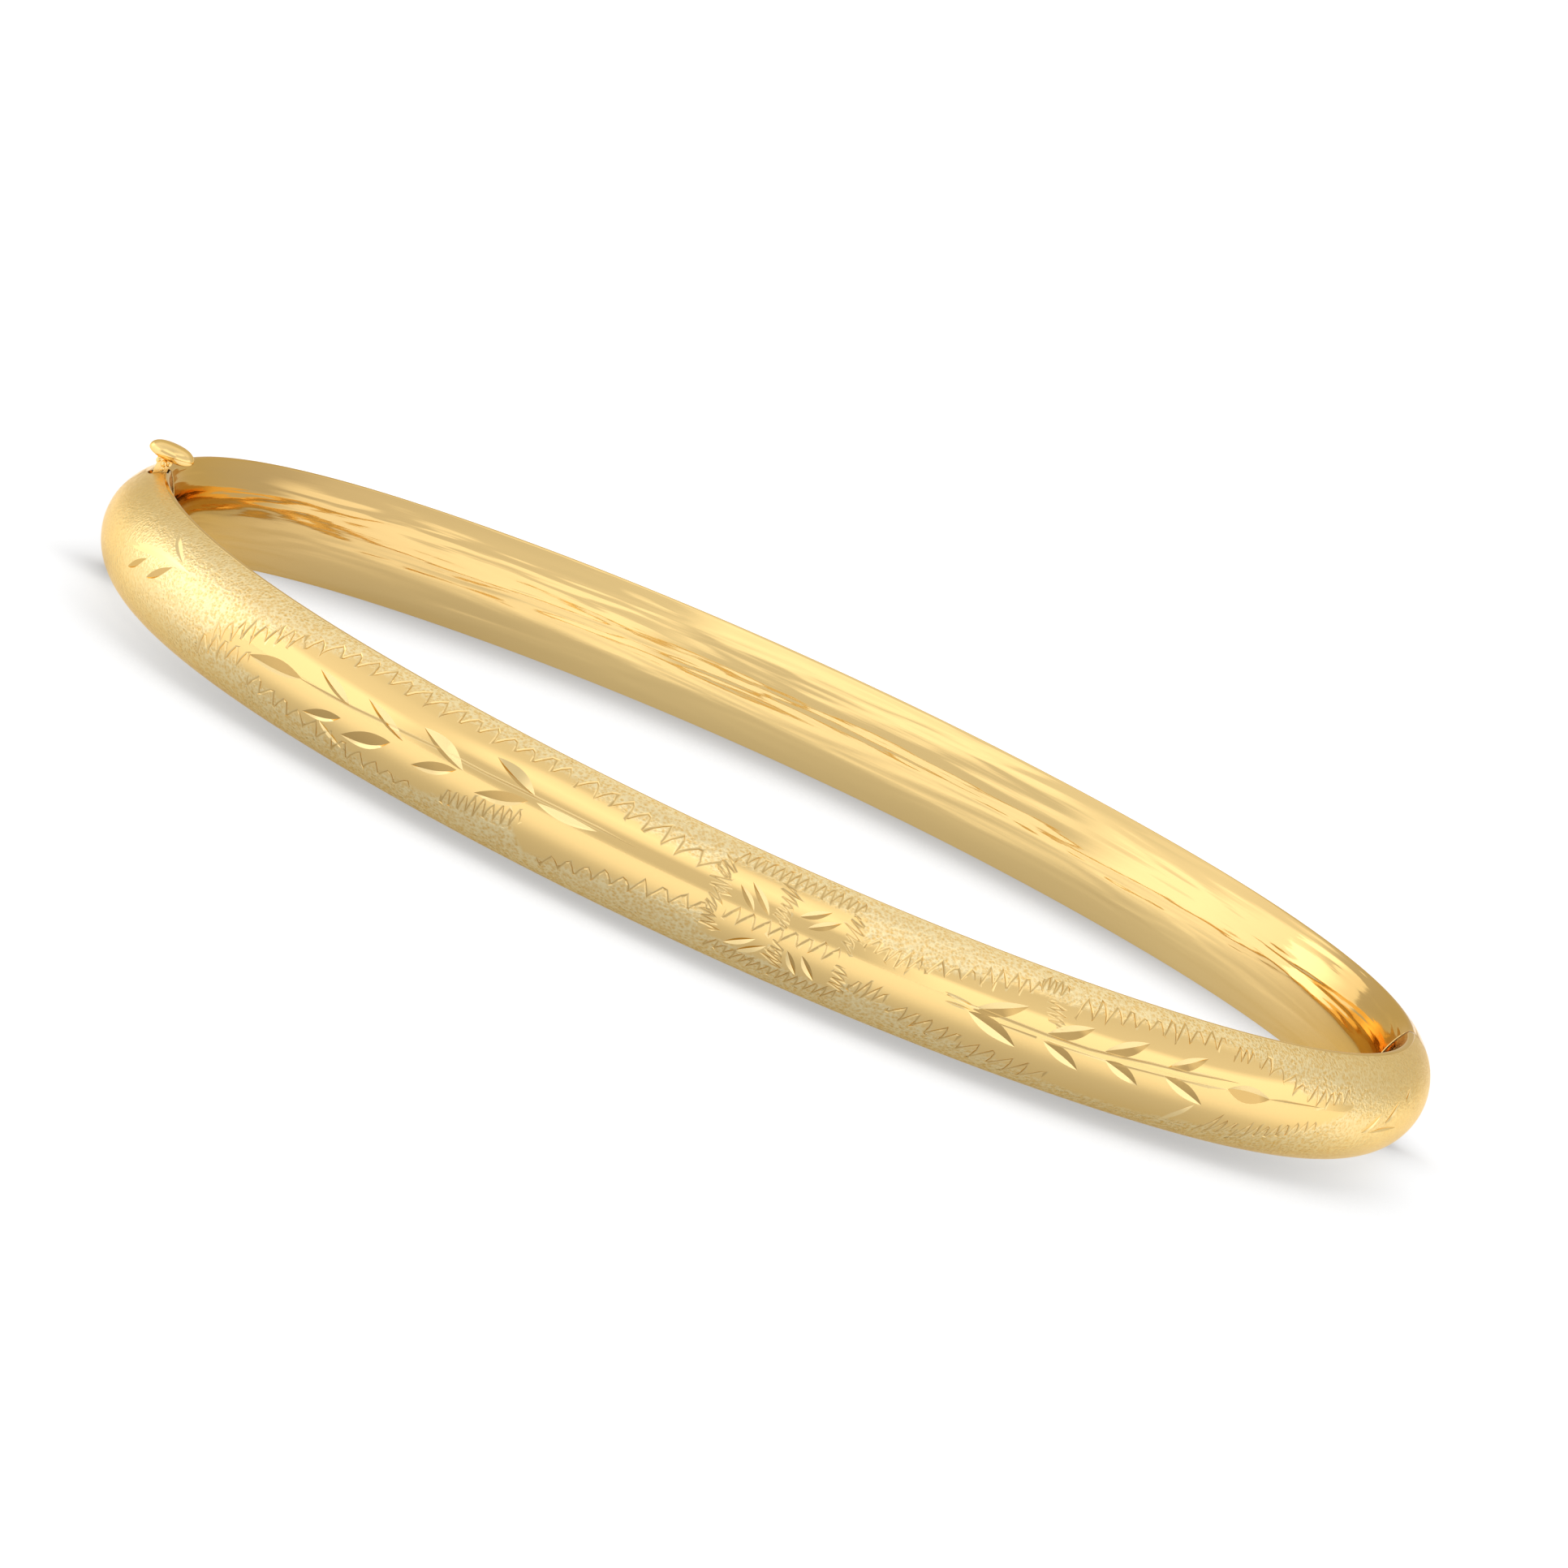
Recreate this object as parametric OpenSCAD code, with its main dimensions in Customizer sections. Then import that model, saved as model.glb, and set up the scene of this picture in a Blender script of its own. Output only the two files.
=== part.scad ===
// Hinged hollow bangle bracelet: two half tubes of sheet metal on a riveted hinge,
// closed by a folded spring tongue with a thumb tab on the upper rim.
//
// Frame: millimetres, +Z up, the bangle lying on its lower rim at z = 0.
// X runs from the clasp (-X) to the hinge (+X), and the front half is on the -Y side.
// Sections are drawn in (out, up): out from the rim line, away from the wrist, and up
// from the middle of the band.

/* [Wrist opening] */
// Inside length of the oval, from clasp to hinge
inside_length = 59.8; // [58:0.1:62]
// Inside width of the oval, from front to back
inside_width = 53.4; // [52.5:0.1:54.5]

/* [Band] */
// Width of the band, from rim to rim
band_width = 5.2; // [5:0.05:5.5]
// Height of the outer dome above the rim line
dome_height = 1.95; // [1.85:0.05:2.15]
// Depth of the inner crown below the rim line
crown_height = 0.86; // [0.7:0.02:1]
// Width of the narrow flat along each rim
rim_flat = 0.18; // [0.12:0.01:0.22]
// Sheet thickness of the outer shells
shell_wall = 0.3; // [0.25:0.01:0.34]
// Sheet thickness of the inner liners
liner_wall = 0.22; // [0.18:0.01:0.26]
// Gap between the closed halves at each seam
seam_gap = 0.1; // [0.06:0.01:0.14]
// Thickness of the plates that close the tube at the clasp
plate_wall = 0.3; // [0.25:0.01:0.35]

/* [Hinge] */
// Distance of the hinge pin outside the rim line
hinge_out = 1.2; // [1.15:0.01:1.25]
// Radius of the knuckle tubes
knuckle_radius = 0.5; // [0.45:0.01:0.52]
// Length of the three knuckles together
barrel_length = 2.65; // [2.5:0.05:2.7]
// Radius of the pin
pin_radius = 0.25; // [0.2:0.01:0.28]
// How far the bangle opens, in degrees
open_angle = 60; // [40:1:62]
// Length of the solid blocks that carry the knuckles
block_length = 1.1; // [0.9:0.05:1.5]

/* [Clasp] */
// How far the tongue reaches into the front half, to the middle of its fold
tongue_reach = 3.2; // [3:0.05:3.5]
// Width of the two leaves of the tongue
leaf_width = 1.5; // [1.4:0.02:1.55]
// Sheet thickness of the two leaves
leaf_wall = 0.25; // [0.22:0.01:0.27]
// Angle between the two leaves when relaxed, in degrees
leaf_rise = 17.5; // [17:0.1:18]
// How far the sprung leaf turns when the tab is pressed, in degrees
press_angle = 8; // [7:0.1:8.2]
// Size of the thumb tab across the rim
tab_across = 2.16; // [2:0.02:2.3]
// Size of the thumb tab along the rim
tab_along = 1.9; // [1.8:0.02:1.96]
// Thickness of the thumb tab at its middle
tab_height = 0.6; // [0.5:0.01:0.64]
// Gap between the thumb tab and the rim when relaxed
tab_gap = 0.46; // [0.46:0.01:0.56]

/* [Hidden] */
$fn = 96;

GOLD_POLISHED = "#edc976";
GOLD_SATIN = "#e6c06c";
GOLD_HIDDEN = "#d9b565";

mid = band_width / 2;
// Oval of the rim line, made of two end arcs and two flatter side arcs. The line through
// their centres, on which they meet, falls 4 for every 3 across.
rim_a = inside_length / 2 + crown_height;
rim_b = inside_width / 2 + crown_height;
end_c = 1.5 * (rim_a - rim_b);
end_r = rim_a - end_c;
side_c = 4 / 3 * end_c;
side_r = end_r + 5 / 3 * end_c;
// Arcs of the section, through the rims and through the crest
dome_sag = dome_height - rim_flat;
dome_r = (mid * mid + dome_sag * dome_sag) / (2 * dome_sag);
dome_c = dome_height - dome_r;
crown_r = (mid * mid + crown_height * crown_height) / (2 * crown_height);
crown_c = crown_r - crown_height;

// Hinge
turn_clear = 0.06;
pin_clear = 0.03;
knuckle_gap = 0.05;
knuckle_length = (barrel_length - 2 * knuckle_gap) / 3;
rivet_radius = 0.38;
rivet_height = 0.12;
relief_angle = open_angle / 2 + 1;

// Clasp, in the (out, along, up) frame of the clasp seam
blade_out = -0.28;
blade_top = -0.4;
blade_root = 0.8;
fold_radius = leaf_wall;
fold_gap = 0.03;
leaf_start = fold_radius + fold_gap;
leaf_length = 2.83;
mouth_clear = 0.08;
mouth_top = 0.36;
stem_out = 0.2;
stem_width = 0.6;
stem_along = -1.05;
stem_wall = 0.35;
stem_clear = 0.08;
tab_out = 0.35;
tab_middle = -0.55;
tab_bottom = mid + tab_gap;
tab_edge = 0.14;

// ---- Sections, in (out, up) ----

module section_disc(centre, radius) {
    translate([centre, 0]) circle(r = radius);
}

module section_slab() {
    translate([-crown_height - 1, -mid]) square([dome_height + crown_height + 2, band_width]);
}

// Everything inside the outer faces of the tube
module tube_outline() {
    intersection() {
        section_disc(dome_c, dome_r);
        section_disc(crown_c, crown_r);
        section_slab();
    }
}

module cavity_section() {
    intersection() {
        section_disc(dome_c, dome_r - shell_wall);
        section_disc(crown_c, crown_r - liner_wall);
    }
}

module shell_section() {
    difference() {
        intersection() {
            section_disc(dome_c, dome_r);
            section_disc(crown_c, crown_r - liner_wall);
            section_slab();
        }
        section_disc(dome_c, dome_r - shell_wall);
    }
}

module liner_section() {
    difference() {
        tube_outline();
        section_disc(crown_c, crown_r - liner_wall);
    }
}

module section(kind) {
    if (kind == "shell") shell_section();
    if (kind == "liner") liner_section();
    if (kind == "cavity") cavity_section();
}

// ---- Runs of a section along the oval ----

module ring(kind, centre, radius) {
    translate([centre[0], centre[1], mid])
        rotate_extrude()
            translate([radius, 0]) section(kind);
}

module block(points) {
    translate([0, 0, -1]) linear_extrude(band_width + 2) polygon(points);
}

// A short run of the front half beside the clasp, from one distance to another
module clasp_slice(kind, from, to) {
    intersection() {
        ring(kind, [-end_c, 0], end_r);
        block([[-40, -to], [-20, -to], [-20, -from], [-40, -from]]);
    }
}

module hinge_slice(kind, from, to) {
    intersection() {
        ring(kind, [end_c, 0], end_r);
        block([[20, -to], [40, -to], [40, -from], [20, -from]]);
    }
}

// The whole front half of the oval
module half_run(kind) {
    cut = -seam_gap / 2;
    near = [2.25 * end_c, -1.25 * side_c];
    far = [7.25 * end_c, -6.25 * side_c];
    union() {
        intersection() {
            ring(kind, [-end_c, 0], end_r);
            block([[-near[0], near[1]], [-far[0], far[1]], [-60, -40], [-60, cut], [-12, cut]]);
        }
        intersection() {
            ring(kind, [0, side_c], side_r);
            block([[-near[0], near[1]], [-far[0], far[1]], far, near]);
        }
        intersection() {
            ring(kind, [end_c, 0], end_r);
            block([near, far, [60, -40], [60, cut], [12, cut]]);
        }
    }
}

module to_back() {
    mirror([0, 1, 0]) children();
}

// ---- Hinge ----

module at_hinge() {
    translate([rim_a + hinge_out, 0, mid]) children();
}

module barrel_piece(radius, from, to) {
    at_hinge() translate([0, 0, from]) cylinder(r = radius, h = to - from);
}

// Room around the barrel and the rivet heads, on either half
module barrel_room() {
    reach = barrel_length / 2 + rivet_height + turn_clear;
    barrel_piece(knuckle_radius + turn_clear, -reach, reach);
}

// Wedge beyond the pin that lets the front half turn
module hinge_relief() {
    depth = dome_height + 1;
    at_hinge()
        translate([0, 0, -band_width])
            linear_extrude(2 * band_width)
                polygon([[0, 0], [depth, -depth * tan(relief_angle)], [depth, 1], [0, 1]]);
}

// Seats for knuckles that are soldered to their own block
module outer_knuckle_seats() {
    inner = knuckle_length / 2 + knuckle_gap;
    for (side = [-1, 1]) {
        low = side > 0 ? inner : -barrel_length / 2;
        barrel_piece(knuckle_radius, low, low + knuckle_length);
    }
}

module middle_knuckle_seat() {
    barrel_piece(knuckle_radius, -knuckle_length / 2, knuckle_length / 2);
}

// Room for the back half's knuckle and for the rivet heads, on the front block
module front_block_room() {
    inner = knuckle_length / 2 + knuckle_gap;
    outer = barrel_length / 2;
    reach = outer + rivet_height + turn_clear;
    barrel_piece(knuckle_radius + turn_clear, -inner, inner);
    barrel_piece(knuckle_radius + turn_clear, outer, reach);
    barrel_piece(knuckle_radius + turn_clear, -reach, -outer);
}

// Room for the front half's knuckles, on the back block
module back_block_room() {
    inner = knuckle_length / 2;
    reach = barrel_length / 2 + rivet_height + turn_clear;
    barrel_piece(knuckle_radius + turn_clear, inner, reach);
    barrel_piece(knuckle_radius + turn_clear, -reach, -inner);
}

module hinge_block() {
    difference() {
        hinge_slice("cavity", seam_gap / 2, seam_gap / 2 + block_length);
        hinge_relief();
        children();
    }
}

module knuckle(from, to, bore) {
    difference() {
        barrel_piece(knuckle_radius, from, to);
        barrel_piece(bore, from - 1, to + 1);
    }
}

// ---- Clasp ----

module at_clasp() {
    translate([-rim_a, 0, mid]) mirror([1, 0, 0]) children();
}

// Frame of the sprung leaf: x across it, y along it from the fold, z through it
module at_leaf() {
    at_clasp()
        translate([blade_out, -tongue_reach, blade_top])
            rotate([leaf_rise, 0, 0])
                children();
}

// Notch in the upper rim of the front half, through which the stem rises
module stem_notch() {
    at_clasp()
        translate([stem_out - stem_clear, stem_along - stem_clear, mouth_top - 0.1])
            cube([stem_width + 2 * stem_clear, -stem_along + stem_clear + 1, band_width]);
}

module mouth() {
    low = blade_top - leaf_wall - mouth_clear;
    at_clasp()
        translate([blade_out - mouth_clear, -1, low])
            cube([leaf_width + 2 * mouth_clear, 2, mouth_top - low]);
}

module blade() {
    at_clasp() translate([blade_out, 0, 0]) {
        translate([0, -tongue_reach, blade_top - leaf_wall])
            cube([leaf_width, tongue_reach + blade_root, leaf_wall]);
        translate([0, -tongue_reach, blade_top])
            rotate([0, 90, 0])
                cylinder(r = fold_radius, h = leaf_width);
    }
}

// Oval button, domed above and below
module tab_body() {
    corner = tab_along / 2;
    shift = tab_across / 2 - corner;
    rise = (tab_height - tab_edge) / 2;
    crown = (tab_across * tab_across / 4 + rise * rise) / (2 * rise);
    at_clasp()
        translate([tab_out, tab_middle, tab_bottom])
            intersection() {
                union() {
                    for (side = [-1, 1])
                        translate([side * shift, 0, 0]) cylinder(r = corner, h = tab_height);
                    translate([-shift, -corner, 0]) cube([2 * shift, tab_along, tab_height]);
                }
                translate([0, 0, tab_height - crown]) sphere(r = crown);
                translate([0, 0, crown]) sphere(r = crown);
            }
}

// ---- Front half ----

module front_outer_shell() {
    color(GOLD_SATIN)
        difference() {
            half_run("shell");
            hinge_relief();
            barrel_room();
            stem_notch();
        }
}

module front_inner_liner() {
    color(GOLD_POLISHED)
        difference() {
            half_run("liner");
            stem_notch();
        }
}

module front_hinge_block() {
    color(GOLD_HIDDEN)
        hinge_block() {
            front_block_room();
            outer_knuckle_seats();
        }
}

module front_catch_plate() {
    color(GOLD_HIDDEN)
        difference() {
            clasp_slice("cavity", seam_gap / 2, seam_gap / 2 + plate_wall);
            mouth();
            stem_notch();
        }
}

module hinge_knuckle_upper() {
    low = knuckle_length / 2 + knuckle_gap;
    color(GOLD_POLISHED) knuckle(low, low + knuckle_length, pin_radius);
}

module hinge_knuckle_lower() {
    low = -barrel_length / 2;
    color(GOLD_POLISHED) knuckle(low, low + knuckle_length, pin_radius);
}

module hinge_pin() {
    half = barrel_length / 2;
    color(GOLD_HIDDEN)
        union() {
            barrel_piece(pin_radius, -half - rivet_height, half + rivet_height);
            barrel_piece(rivet_radius, half, half + rivet_height);
            barrel_piece(rivet_radius, -half - rivet_height, -half);
        }
}

// ---- Back half ----

module back_outer_shell() {
    color(GOLD_POLISHED)
        to_back()
            difference() {
                half_run("shell");
                hinge_relief();
                barrel_room();
            }
}

module back_inner_liner() {
    color(GOLD_POLISHED) to_back() half_run("liner");
}

module back_hinge_block() {
    color(GOLD_HIDDEN)
        to_back()
            hinge_block() {
                back_block_room();
                middle_knuckle_seat();
            }
}

module back_end_plate() {
    color(GOLD_HIDDEN)
        difference() {
            to_back() clasp_slice("cavity", seam_gap / 2, seam_gap / 2 + plate_wall);
            blade();
        }
}

module hinge_knuckle_middle() {
    half = knuckle_length / 2;
    color(GOLD_POLISHED) knuckle(-half, half, pin_radius + pin_clear);
}

module tongue_blade() {
    color(GOLD_HIDDEN) blade();
}

// ---- Sprung latch ----

module tongue_spring_leaf() {
    color(GOLD_HIDDEN)
        at_leaf()
            translate([0, leaf_start, 0])
                cube([leaf_width, leaf_length - leaf_start, leaf_wall]);
}

module tab_stem() {
    color(GOLD_POLISHED)
        difference() {
            at_clasp()
                translate([stem_out, stem_along, blade_top])
                    cube([stem_width, stem_wall, tab_bottom + tab_height / 2 - blade_top]);
            at_leaf() translate([-1, -1, leaf_wall - 3]) cube([leaf_width + 2, leaf_length + 2, 3]);
            tab_body();
        }
}

module thumb_tab() {
    color(GOLD_POLISHED) tab_body();
}

front_outer_shell();
front_inner_liner();
front_hinge_block();
front_catch_plate();
hinge_knuckle_upper();
hinge_knuckle_lower();
hinge_pin();
back_outer_shell();
back_inner_liner();
back_hinge_block();
back_end_plate();
hinge_knuckle_middle();
tongue_blade();
tongue_spring_leaf();
tab_stem();
thumb_tab();
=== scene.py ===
"""Looks of the hinged bangle: engraved and polished gold sheet over the fixed frame, on a pale floor.

Sizes here are in millimetres and become metres where a vertex is placed. Along the band, s runs
round the crest from the clasp to the hinge, and v runs over the dome from the upper rim to the lower.
"""

import math

import bmesh
import bpy
import numpy as np
from bpy.props import FloatProperty, FloatVectorProperty, PointerProperty, StringProperty
from mathutils import Matrix, Vector, noise
from mathutils.geometry import delaunay_2d_cdt


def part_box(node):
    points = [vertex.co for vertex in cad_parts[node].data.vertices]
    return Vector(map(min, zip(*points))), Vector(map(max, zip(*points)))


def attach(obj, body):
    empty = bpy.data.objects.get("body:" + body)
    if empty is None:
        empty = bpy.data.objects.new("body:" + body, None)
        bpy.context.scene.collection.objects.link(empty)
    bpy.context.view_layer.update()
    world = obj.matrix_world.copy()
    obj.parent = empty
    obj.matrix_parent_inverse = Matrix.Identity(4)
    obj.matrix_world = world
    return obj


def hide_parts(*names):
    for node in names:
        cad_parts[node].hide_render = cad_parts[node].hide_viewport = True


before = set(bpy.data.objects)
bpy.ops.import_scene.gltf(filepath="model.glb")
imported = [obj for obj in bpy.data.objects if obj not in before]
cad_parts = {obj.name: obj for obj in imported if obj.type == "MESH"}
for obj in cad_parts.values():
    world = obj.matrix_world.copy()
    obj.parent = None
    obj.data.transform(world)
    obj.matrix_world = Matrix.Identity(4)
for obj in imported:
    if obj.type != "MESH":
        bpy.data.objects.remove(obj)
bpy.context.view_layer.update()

bl_info = {
    "name": "Hinged bangle",
    "version": (1, 0, 0),
    "blender": (4, 5, 0),
    "location": "View3D > Sidebar > Bangle",
    "description": "Builds the looks of a hinged, engraved gold bangle over its fixed frame",
    "category": "Add Mesh",
}

MM = 0.001

# ---- The band's shape, as the frame has it ----

RIM_FLAT = 0.18
CROWN = 0.86
DOME = 1.95
LINER = 0.22
SHELL = 0.3
SEAM = 0.05
LINER_LOW, LINER_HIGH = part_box("front_inner_liner")
MID = (LINER_LOW.z + LINER_HIGH.z) / 2 / MM
HALF = (LINER_HIGH.z - LINER_LOW.z) / 2 / MM
RIM_A = -LINER_LOW.x / MM - RIM_FLAT
RIM_B = -LINER_LOW.y / MM - RIM_FLAT
END_C = 1.5 * (RIM_A - RIM_B)
END_R = RIM_A - END_C
SIDE_C = END_C * 4 / 3
SIDE_R = END_R + END_C * 5 / 3
JOIN = math.atan2(4, 3)
DOME_R = (HALF**2 + (DOME - RIM_FLAT) ** 2) / (2 * (DOME - RIM_FLAT))
DOME_C = DOME - DOME_R
CROWN_R = (HALF**2 + CROWN**2) / (2 * CROWN)
CROWN_C = CROWN_R - CROWN
# Where the shell's edge lies on the liner
EDGE_OUT = (DOME_R**2 - DOME_C**2 - (CROWN_R - LINER) ** 2 + CROWN_C**2) / (2 * (CROWN_C - DOME_C))
EDGE_ANGLE = math.acos((EDGE_OUT - DOME_C) / DOME_R)
HINGE_OUT = 1.2
RELIEF = math.tan(math.radians(31))

# The notch in the upper rim for the tab's stem: how far it reaches from the clasp, and down the dome
NOTCH_LENGTH = 1.25
NOTCH_DEPTH = 0.86

# The engraver's layout is drawn on a strip of this length and width
STRIP_LENGTH = 99.27
STRIP_WIDTH = 7.0
END_CREST = (END_R + DOME) * JOIN
SIDE_CREST = (SIDE_R + DOME) * (math.pi - 2 * JOIN)
CREST = 2 * END_CREST + SIDE_CREST


def turn_at(s):
    """The direction that the band faces, at a length s of the strip: pi at the clasp, 2 pi at the hinge."""
    along = np.asarray(s, float) * CREST / STRIP_LENGTH
    stops = [0, END_CREST, END_CREST + SIDE_CREST, CREST]
    return np.interp(along, stops, [math.pi, math.pi + JOIN, 2 * math.pi - JOIN, 2 * math.pi])


def oval(turn, out):
    """Points a distance out from the rim line, where the band faces the direction turn."""
    turn = np.asarray(turn, float)
    left, right = turn < math.pi + JOIN, turn > 2 * math.pi - JOIN
    centre_x = np.where(left, -END_C, np.where(right, END_C, 0.0))
    centre_y = np.where(left | right, 0.0, SIDE_C)
    radius = np.where(left | right, END_R, SIDE_R) + out
    return centre_x + radius * np.cos(turn), centre_y + radius * np.sin(turn)


def lean_at(v):
    """How far up the dome faces, at a distance v from the upper rim."""
    return EDGE_ANGLE * (1 - 2 * np.asarray(v, float) / STRIP_WIDTH)


def on_dome(s, v, depth):
    """Points of the outer shell in metres, and the dome's own normals there."""
    turn, lean = turn_at(s), lean_at(v)
    out = DOME_C + (DOME_R - depth) * np.cos(lean)
    x, y = oval(turn, out)
    z = MID + (DOME_R - depth) * np.sin(lean)
    normal = (np.cos(lean) * np.cos(turn), np.cos(lean) * np.sin(turn), np.sin(lean))
    return np.stack([x, y, z], 1) * MM, np.stack(np.broadcast_arrays(*normal), 1)


def end_length(v, depth):
    """Where the shell stops at the hinge, cut back to let the bangle open."""
    out = DOME_C + (DOME_R - depth) * np.cos(lean_at(v))
    cut = SEAM + RELIEF * np.maximum(0, out - HINGE_OUT)
    return STRIP_LENGTH - cut * STRIP_LENGTH / CREST


# ---- The engraver's work ----

# Only points this near along the strip are measured from a piece of a line
LINE_REACH = 1.5

# Leaves cut with two slopes that meet in a valley: base, tip, bend, width, depth, valley's place
LEAVES = [
    # Branch that points to the clasp
    ((26.35, 3.28), (23.0, 3.62), 0.06, 0.70, 0.11, -0.55),
    ((29.25, 3.20), (26.95, 2.40), 0.06, 0.50, 0.11, -0.55),
    ((32.45, 3.40), (29.90, 2.45), 0.05, 0.46, 0.11, -0.55),
    ((35.65, 3.26), (33.00, 2.32), 0.12, 0.72, 0.12, -0.55),
    ((39.10, 2.72), (36.70, 1.90), 0.10, 0.62, 0.12, -0.50),
    ((29.10, 3.92), (26.95, 4.62), -0.03, 0.56, 0.11, -0.55),
    ((31.90, 3.74), (29.30, 4.66), -0.08, 0.80, 0.13, -0.6),
    ((35.35, 3.36), (33.20, 4.20), -0.04, 0.60, 0.12, -0.45),
    ((38.95, 3.08), (36.50, 3.92), -0.06, 0.66, 0.12, -0.45),
    ((39.30, 2.98), (42.30, 2.92), 0.10, 0.40, 0.035, 0.4),
    ((27.95, 4.58), (29.45, 5.38), 0.02, 0.34, 0.07, 0.2),
    # Branch that points to the hinge
    ((60.65, 3.42), (63.15, 2.36), 0.08, 0.72, 0.13, -0.1),
    ((64.40, 3.24), (66.60, 2.28), 0.08, 0.70, 0.13, -0.1),
    ((67.40, 3.14), (69.60, 2.12), 0.08, 0.70, 0.13, -0.1),
    ((70.85, 2.94), (73.00, 1.98), 0.07, 0.60, 0.13, -0.1),
    ((60.50, 3.58), (63.30, 4.44), -0.08, 0.74, 0.13, 0.15),
    ((64.35, 3.66), (66.60, 4.48), -0.07, 0.60, 0.12, 0.15),
    ((67.60, 3.54), (69.75, 4.24), -0.07, 0.60, 0.12, 0.15),
    ((70.80, 3.38), (73.55, 4.24), -0.06, 0.62, 0.12, 0.15),
    ((74.50, 3.10), (77.35, 3.08), 0.03, 0.84, 0.12, -0.35),
    ((73.15, 4.30), (72.15, 5.92), 0.03, 0.38, 0.09, 0.2),
    ((59.15, 3.12), (61.00, 3.34), 0.00, 0.20, 0.06, 0.0),
    ((59.30, 3.52), (60.70, 3.50), 0.00, 0.18, 0.05, 0.0),
    # Four pairs in the middle
    ((49.98, 3.16), (48.98, 2.26), 0.03, 0.36, 0.09, 0.1),
    ((50.66, 3.06), (49.42, 1.90), 0.03, 0.40, 0.10, 0.1),
    ((49.30, 5.22), (50.55, 4.32), 0.03, 0.36, 0.09, -0.1),
    ((49.92, 5.44), (51.10, 4.45), 0.03, 0.36, 0.09, -0.1),
    ((51.90, 2.52), (53.20, 1.70), 0.03, 0.40, 0.10, -0.1),
    ((52.40, 2.88), (53.75, 2.02), 0.03, 0.40, 0.10, -0.1),
    ((52.02, 4.22), (52.84, 5.34), 0.03, 0.38, 0.10, 0.1),
    ((52.68, 4.16), (53.66, 5.22), 0.03, 0.38, 0.10, 0.1),
    # Sprig beside the clasp
    ((9.60, 3.24), (16.60, 2.16), -0.28, 0.50, 0.012, 0.0),
    ((13.50, 3.66), (15.15, 2.44), 0.06, 0.46, 0.11, 0.4),
    ((11.10, 3.94), (12.70, 2.94), 0.06, 0.38, 0.09, 0.4),
    ((12.80, 1.00), (15.60, 2.00), 0.05, 0.36, 0.015, 0.1),
    # Sprig beside the hinge
    ((86.60, 3.95), (89.90, 3.72), -0.10, 0.26, 0.05, 0.1),
    ((85.70, 3.98), (87.15, 2.94), 0.05, 0.50, 0.05, 0.5),
    ((87.90, 3.44), (89.30, 2.34), 0.05, 0.46, 0.05, 0.5),
    ((90.30, 2.44), (91.20, 1.80), 0.04, 0.36, 0.04, 0.5),
]

# Plain cut lines: points, half width, depth
STEMS = [
    ([(26.2, 3.30), (28, 3.25), (29.4, 3.2), (30.9, 3.08), (32.3, 3.0), (34.3, 2.87), (36.6, 2.86),
      (39.2, 2.78), (42.3, 2.75), (44.1, 2.79)], 0.08, 0.04),
    ([(59.3, 3.25), (62.3, 3.3), (64.5, 3.33), (66.6, 3.3), (68.3, 3.16), (69.9, 3.0),
      (72.2, 2.87), (75.0, 2.7)], 0.075, 0.036),
    ([(61.2, 3.62), (64, 3.62), (68, 3.56), (71.3, 3.36), (74.6, 3.12)], 0.06, 0.028),
    ([(77.3, 3.08), (78.3, 3.0), (81.4, 2.95)], 0.07, 0.034),
]

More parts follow.
